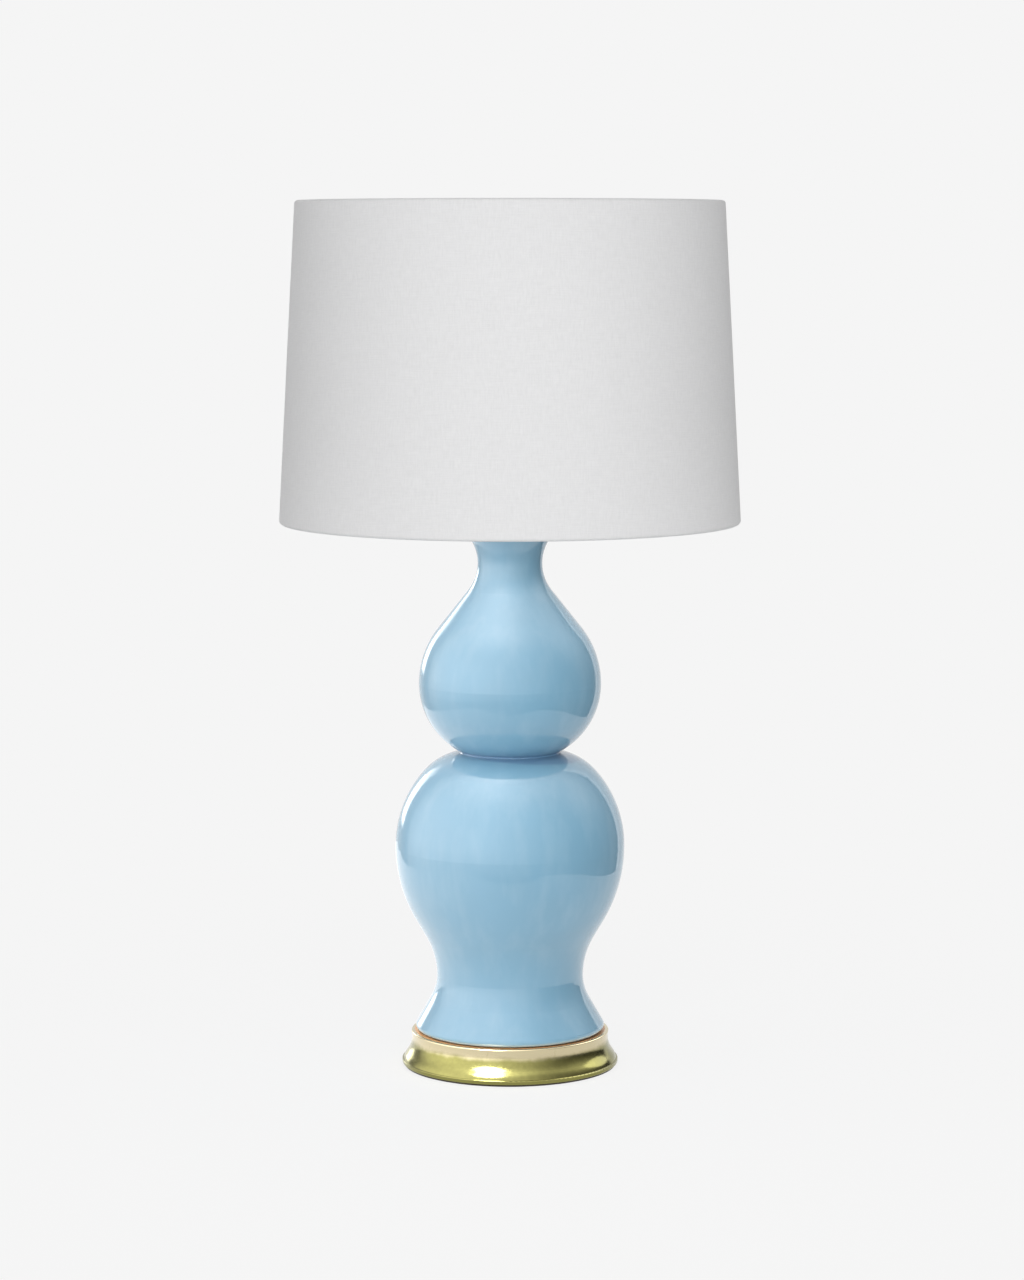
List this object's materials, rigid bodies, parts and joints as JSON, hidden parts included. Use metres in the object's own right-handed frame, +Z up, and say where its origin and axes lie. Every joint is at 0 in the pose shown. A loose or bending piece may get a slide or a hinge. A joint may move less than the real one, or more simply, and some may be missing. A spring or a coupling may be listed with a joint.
{
  "type": "table lamp",
  "caption": "Table lamp: a glazed double gourd body on a gilded moulded base, with harp, socket and bulb under a white fabric drum shade.",
  "frame": {"origin": "on the surface that the lamp stands on, under the middle of the base", "axes": "+Z up along the lamp, -Y towards the front, +X to the right seen from the front"},
  "size_m": [0.432, 0.432, 0.816],
  "materials": {
    "felt": "matt wool felt",
    "gold_leaf": "water gilding over a red-brown ground, softly rubbed",
    "steel": "zinc plated",
    "brass": "satin",
    "black_plastic": "moulded",
    "glaze": "glossy sky blue glaze",
    "rubber": "matt",
    "white_wire": "white enamel",
    "linen": "plain slubby weave",
    "liner": "smooth white sheet",
    "cardboard": "plain",
    "solder": "dull",
    "black_glass": "black",
    "bulb_metal": "bright",
    "frosted_glass": "frosted white",
    "clear_glass": "clear"
  },
  "bodies": {
    "lamp_body": {"base_felt": "felt", "gilded_base": "gold_leaf", "base_washer": "steel", "base_nut": "steel", "inlet_bushing": "black_plastic", "seat_ring": "felt", "ceramic_body": "glaze", "lamp_pipe": "steel", "mouth_gasket": "rubber", "vase_cap": "brass", "neck_spacer": "brass", "harp_saddle": "brass", "saddle_nut": "brass", "socket_cap": "brass", "socket_set_screw": "steel", "pipe_bushing": "black_plastic", "socket_shell": "brass", "socket_liner": "cardboard", "socket_core": "black_plastic", "terminal_screws": "steel", "thread_shell": "brass", "centre_contact": "brass"},
    "harp": {"harp_wire": "brass", "harp_boss": "brass"},
    "ferrule_right": {"harp_ferrule_right": "brass"},
    "ferrule_left": {"harp_ferrule_left": "brass"},
    "swivel_stud": {"harp_stud": "brass"},
    "shade": {"spider_hub": "white_wire", "spider_arm_1": "white_wire", "spider_arm_2": "white_wire", "spider_arm_3": "white_wire", "top_ring": "white_wire", "bottom_ring": "white_wire", "shade_fabric": "linen", "shade_liner": "liner"},
    "finial_washer": {"finial_washer": "brass"},
    "finial": {"finial": "brass"},
    "bulb_contact": {"bulb_contact": "solder"},
    "bulb": {"bulb_button": "black_glass", "bulb_cap": "bulb_metal", "bulb_glass": "frosted_glass", "bulb_stem": "clear_glass", "bulb_filament": "steel"},
    "switch_key": {"switch_shaft": "steel", "switch_rotor": "black_plastic", "switch_knob": "black_plastic"}
  },
  "joints": [
    {"name": "harp_lift", "type": "slide", "parent": "lamp_body", "child": "harp", "axis": [0, 0, 1], "range_m": [0, 0.07]},
    {"name": "ferrule_right_slide", "type": "slide", "parent": "harp", "child": "ferrule_right", "axis": [0, 0, 1], "range_m": [0, 0.012]},
    {"name": "ferrule_left_slide", "type": "slide", "parent": "harp", "child": "ferrule_left", "axis": [0, 0, 1], "range_m": [0, 0.012]},
    {"name": "shade_swivel", "type": "hinge", "parent": "harp", "child": "swivel_stud", "pos_m": [0, 0, 0.786], "axis": [0, 0, 1], "continuous": true},
    {"name": "shade_lift", "type": "slide", "parent": "swivel_stud", "child": "shade", "axis": [0, 0, 1], "range_m": [0, 0.3]},
    {"name": "finial_rise", "type": "slide", "parent": "shade", "child": "finial_washer", "axis": [0, 0, 1], "range_m": [0, 0.00658]},
    {"name": "finial_turn", "type": "hinge", "parent": "finial_washer", "child": "finial", "pos_m": [0, 0, 0.7905], "axis": [0, 0, 1], "range_deg": [0, 2521]},
    {"name": "bulb_rise", "type": "slide", "parent": "lamp_body", "child": "bulb_contact", "axis": [0, 0, 1], "range_m": [0, 0.01815]},
    {"name": "bulb_turn", "type": "hinge", "parent": "bulb_contact", "child": "bulb", "pos_m": [0, 0, 0.5756], "axis": [0, 0, 1], "range_deg": [0, 1801]},
    {"name": "switch_turn", "type": "hinge", "parent": "lamp_body", "child": "switch_key", "pos_m": [0, -0.022, 0.563], "axis": [0, -1, 0], "continuous": true}
  ],
  "couplings": [
    {"joint": "finial_turn", "follows": "finial_rise", "rad_per_m": 6684.2},
    {"joint": "bulb_turn", "follows": "bulb_rise", "rad_per_m": 1730.9}
  ]
}
